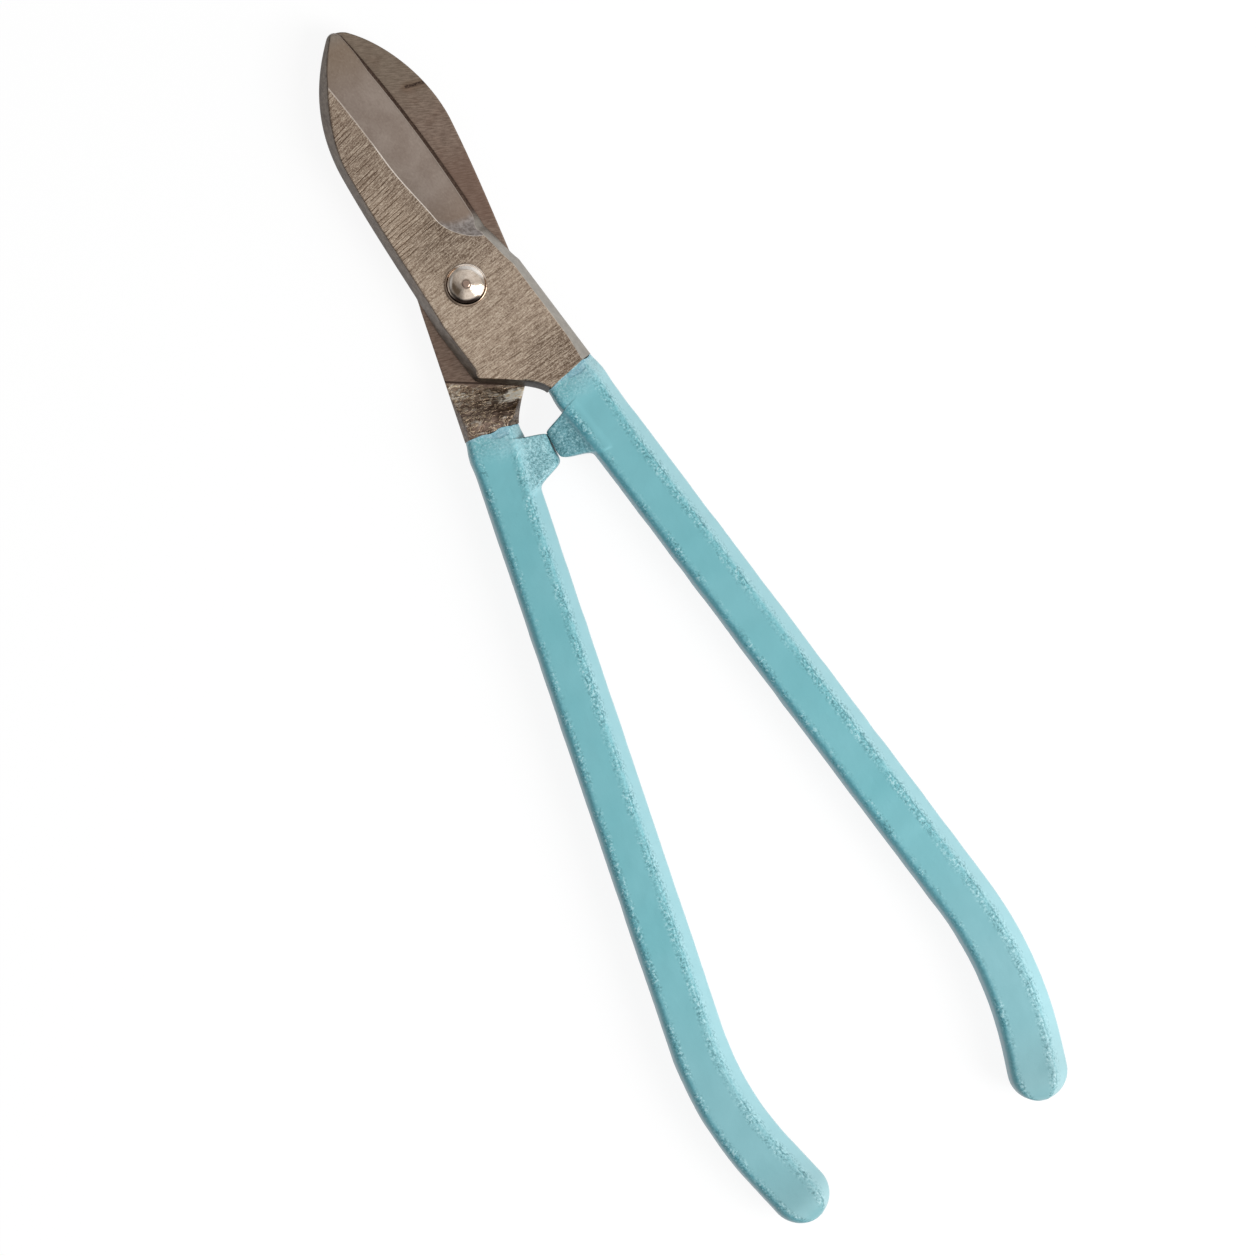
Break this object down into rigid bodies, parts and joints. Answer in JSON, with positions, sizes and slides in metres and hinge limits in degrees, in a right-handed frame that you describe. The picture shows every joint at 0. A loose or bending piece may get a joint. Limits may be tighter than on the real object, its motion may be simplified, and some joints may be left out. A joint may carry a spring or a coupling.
{
  "type": "jewellers shears",
  "caption": "Hand shears for thin sheet metal: forged halves crossed on a rivet, short pointed blades and long plastic-dipped handles with stop lugs.",
  "frame": {"origin": "on the rivet's axis, at the flat of the rivet's back end", "axes": "+Y towards the blade tips, +X towards the front half's handle, +Z out of the front face, along the rivet"},
  "size_m": [0.0516, 0.1786, 0.0088],
  "materials": {
    "front_half": "ground across, with forged sides left darker",
    "back_half": "ground across, with a dark forged ramp",
    "pivot_rivet": "bright, hammered",
    "front_coat": "teal dip, slight orange peel",
    "back_coat": "teal dip, slight orange peel"
  },
  "bodies": {
    "back": {"back_half": "back_half", "back_coat": "back_coat", "pivot_rivet": "pivot_rivet"},
    "front": {"front_half": "front_half", "front_coat": "front_coat"}
  },
  "joints": [
    {"name": "pivot", "type": "hinge", "parent": "back", "child": "front", "pos_m": [0, 0, 0.00432], "axis": [0, 0, 1], "range_deg": [0, 100]}
  ]
}
